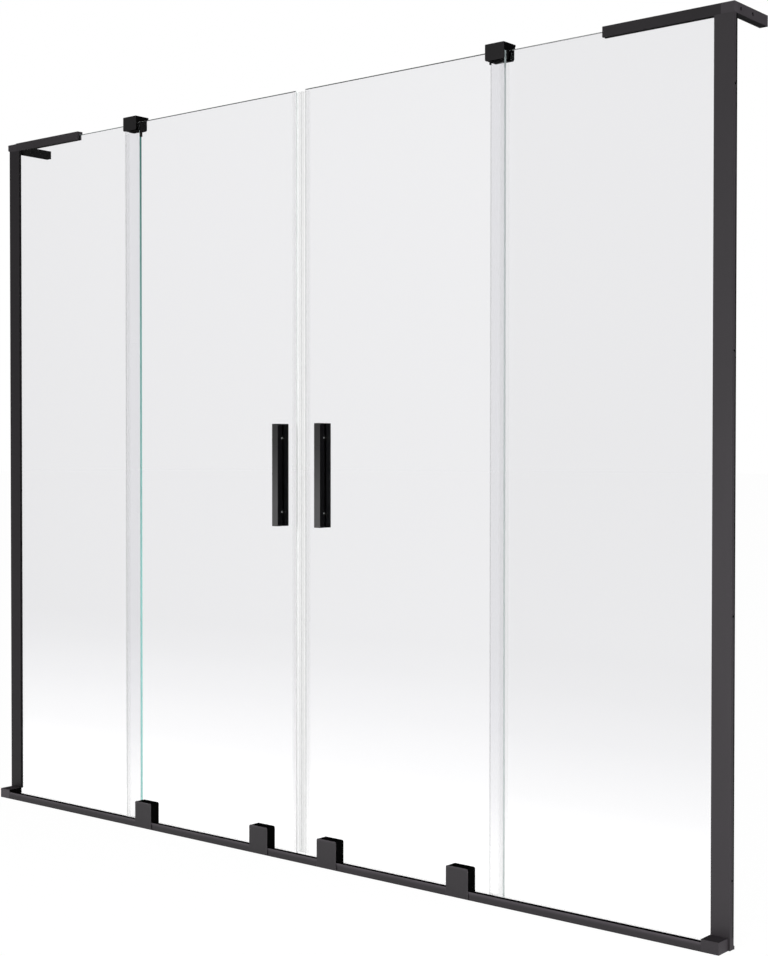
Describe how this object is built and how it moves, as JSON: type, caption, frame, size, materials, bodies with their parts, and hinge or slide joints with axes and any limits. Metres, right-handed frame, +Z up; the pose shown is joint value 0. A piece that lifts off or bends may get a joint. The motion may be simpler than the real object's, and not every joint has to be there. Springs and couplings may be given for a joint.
{
  "type": "sliding bath screen",
  "caption": "Bath screen of clear glass with fixed end panels and doors that slide apart from the middle on a low black rail, with posts, top braces and upright handles.",
  "frame": {"origin": "middle of the rail's underside, on the bath's rim", "axes": "+X along the rail to the viewer's right, +Y from the room into the bath, +Z up"},
  "size_m": [1.8116, 0.1535, 1.5056],
  "materials": {
    "black_metal": "satin black powder coat",
    "black_rail": "satin black powder coat",
    "black_plastic": "fine grained moulding",
    "clear_glass": "clear polished toughened glass",
    "clear_seal": "clear soft vinyl",
    "black_rubber": "matt",
    "steel": "stainless steel",
    "nylon": "smooth",
    "magnet": "bonded magnet strip"
  },
  "bodies": {
    "frame": {"bottom_rail": "black_rail", "end_block_left": "black_plastic", "end_block_right": "black_plastic", "wall_channel_left": "black_metal", "wall_channel_right": "black_metal", "side_post_left": "black_metal", "side_post_right": "black_metal", "post_screws": "steel", "glass_gasket_left": "black_rubber", "glass_gasket_right": "black_rubber", "fixed_glass_left": "clear_glass", "fixed_glass_right": "clear_glass", "fixed_seal_left": "clear_seal", "fixed_seal_right": "clear_seal", "top_bar_left": "black_metal", "top_bar_right": "black_metal", "corner_piece_left": "black_plastic", "corner_piece_right": "black_plastic", "wall_arm_left": "black_metal", "wall_arm_right": "black_metal", "bar_screws": "steel", "guide_block_left": "black_plastic", "guide_block_right": "black_plastic", "guide_liners": "black_rubber", "guide_clips": "black_plastic", "guide_screws": "steel"},
    "door_left": {"door_glass_left": "clear_glass", "handle_front_left": "black_metal", "handle_back_left": "black_metal", "handle_bolts_left": "steel", "handle_washers_left": "black_rubber", "axles_left": "steel", "roller_bolts_left": "black_plastic", "roller_pads_left": "black_rubber", "meeting_seal_left": "clear_seal", "magnet_left": "magnet", "edge_seal_left": "clear_seal", "sweep_seal_left": "clear_seal", "roller_housing_left_outer": "black_plastic", "roller_housing_left_inner": "black_plastic"},
    "door_right": {"door_glass_right": "clear_glass", "handle_front_right": "black_metal", "handle_back_right": "black_metal", "handle_bolts_right": "steel", "handle_washers_right": "black_rubber", "axles_right": "steel", "roller_bolts_right": "black_plastic", "roller_pads_right": "black_rubber", "meeting_seal_right": "clear_seal", "magnet_right": "magnet", "edge_seal_right": "clear_seal", "sweep_seal_right": "clear_seal", "roller_housing_right_outer": "black_plastic", "roller_housing_right_inner": "black_plastic"},
    "wheel_left_outer": {"wheel_left_outer": "nylon"},
    "wheel_left_inner": {"wheel_left_inner": "nylon"},
    "wheel_right_inner": {"wheel_right_inner": "nylon"},
    "wheel_right_outer": {"wheel_right_outer": "nylon"}
  },
  "joints": [
    {"name": "door_left_slide", "type": "slide", "parent": "frame", "child": "door_left", "axis": [-1, 0, 0], "range_m": [0, 0.36]},
    {"name": "door_right_slide", "type": "slide", "parent": "frame", "child": "door_right", "axis": [1, 0, 0], "range_m": [0, 0.37]},
    {"name": "wheel_left_outer_spin", "type": "hinge", "parent": "door_left", "child": "wheel_left_outer", "pos_m": [-0.42, 0, 0.0283], "axis": [0, -1, 0], "range_deg": [-5, 1626]},
    {"name": "wheel_left_inner_spin", "type": "hinge", "parent": "door_left", "child": "wheel_left_inner", "pos_m": [-0.0884, 0, 0.0283], "axis": [0, -1, 0], "range_deg": [-5, 1626]},
    {"name": "wheel_right_inner_spin", "type": "hinge", "parent": "door_right", "child": "wheel_right_inner", "pos_m": [0.0884, 0, 0.0283], "axis": [0, 1, 0], "range_deg": [-5, 1671]},
    {"name": "wheel_right_outer_spin", "type": "hinge", "parent": "door_right", "child": "wheel_right_outer", "pos_m": [0.394, 0, 0.0283], "axis": [0, 1, 0], "range_deg": [-5, 1671]}
  ],
  "couplings": [
    {"joint": "wheel_left_outer_spin", "follows": "door_left_slide", "rad_per_m": 78.125},
    {"joint": "wheel_left_inner_spin", "follows": "door_left_slide", "rad_per_m": 78.125},
    {"joint": "wheel_right_inner_spin", "follows": "door_right_slide", "rad_per_m": 78.125},
    {"joint": "wheel_right_outer_spin", "follows": "door_right_slide", "rad_per_m": 78.125}
  ]
}
